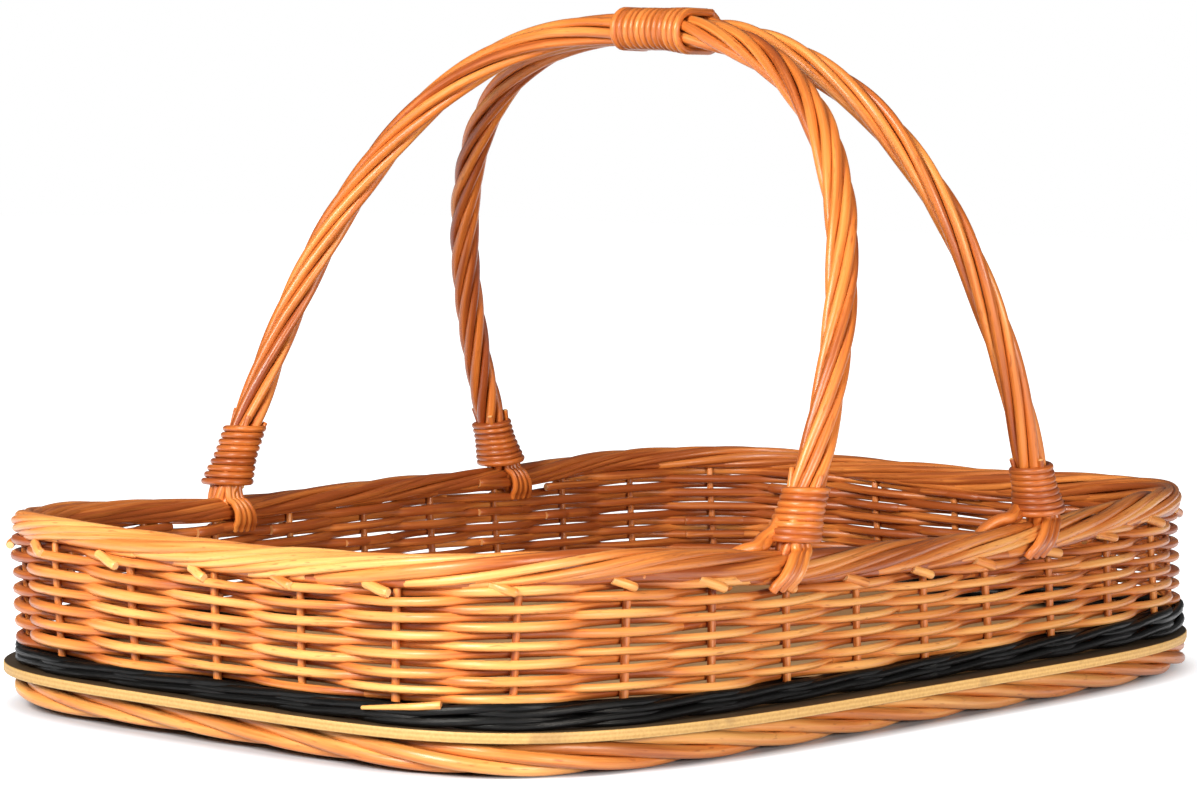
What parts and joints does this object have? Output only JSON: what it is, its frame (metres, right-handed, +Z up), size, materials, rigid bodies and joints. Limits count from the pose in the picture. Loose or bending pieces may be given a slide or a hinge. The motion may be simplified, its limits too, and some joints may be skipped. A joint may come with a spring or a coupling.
{
  "type": "wicker serving tray",
  "caption": "Rounded rectangular wicker tray: plywood base, woven willow wall with a black band, roped borders, and two roped bow handles bound together at the top.",
  "frame": {"origin": "centre of the footprint, on the surface the tray stands on", "axes": "+X along the length of the tray, +Y across it towards the back, +Z up"},
  "size_m": [0.48, 0.33, 0.2747],
  "materials": {
    "plywood": "pale birch plywood, sanded and lightly varnished",
    "buff_willow": "buff willow rods, satin",
    "handle_willow": "buff willow rods, a little darker and glossier",
    "black_willow": "black dyed willow rods, satin"
  },
  "bodies": {
    "root": {"base_board": "plywood", "foot_border": "buff_willow", "stake_01": "buff_willow", "stake_02": "buff_willow", "stake_03": "buff_willow", "stake_04": "buff_willow", "stake_05": "buff_willow", "stake_06": "buff_willow", "stake_07": "buff_willow", "stake_08": "buff_willow", "stake_09": "buff_willow", "stake_10": "buff_willow", "stake_11": "buff_willow", "stake_12": "buff_willow", "stake_13": "buff_willow", "stake_14": "buff_willow", "stake_15": "buff_willow", "stake_16": "buff_willow", "stake_17": "buff_willow", "stake_18": "buff_willow", "stake_19": "buff_willow", "stake_20": "buff_willow", "stake_21": "buff_willow", "stake_22": "buff_willow", "stake_23": "buff_willow", "stake_24": "buff_willow", "stake_25": "buff_willow", "stake_26": "buff_willow", "stake_27": "buff_willow", "stake_28": "buff_willow", "stake_29": "buff_willow", "stake_30": "buff_willow", "stake_31": "buff_willow", "stake_32": "buff_willow", "wale_row_1": "black_willow", "wale_row_2": "black_willow", "weave_row_01": "buff_willow", "weave_row_02": "buff_willow", "weave_row_03": "buff_willow", "weave_row_04": "buff_willow", "weave_row_05": "buff_willow", "weave_row_06": "buff_willow", "weave_row_07": "buff_willow", "weave_row_08": "buff_willow", "weave_row_09": "buff_willow", "weave_row_10": "buff_willow", "weave_row_11": "buff_willow", "weave_row_12": "buff_willow", "weave_row_13": "buff_willow", "weave_row_14": "buff_willow", "weave_row_15": "buff_willow", "rim_border": "buff_willow", "handle_bow_left": "handle_willow", "handle_bow_right": "handle_willow", "foot_wrap_left_front": "handle_willow", "foot_wrap_left_back": "handle_willow", "foot_wrap_right_front": "handle_willow", "foot_wrap_right_back": "handle_willow", "top_binding": "handle_willow"}
  },
  "joints": []
}
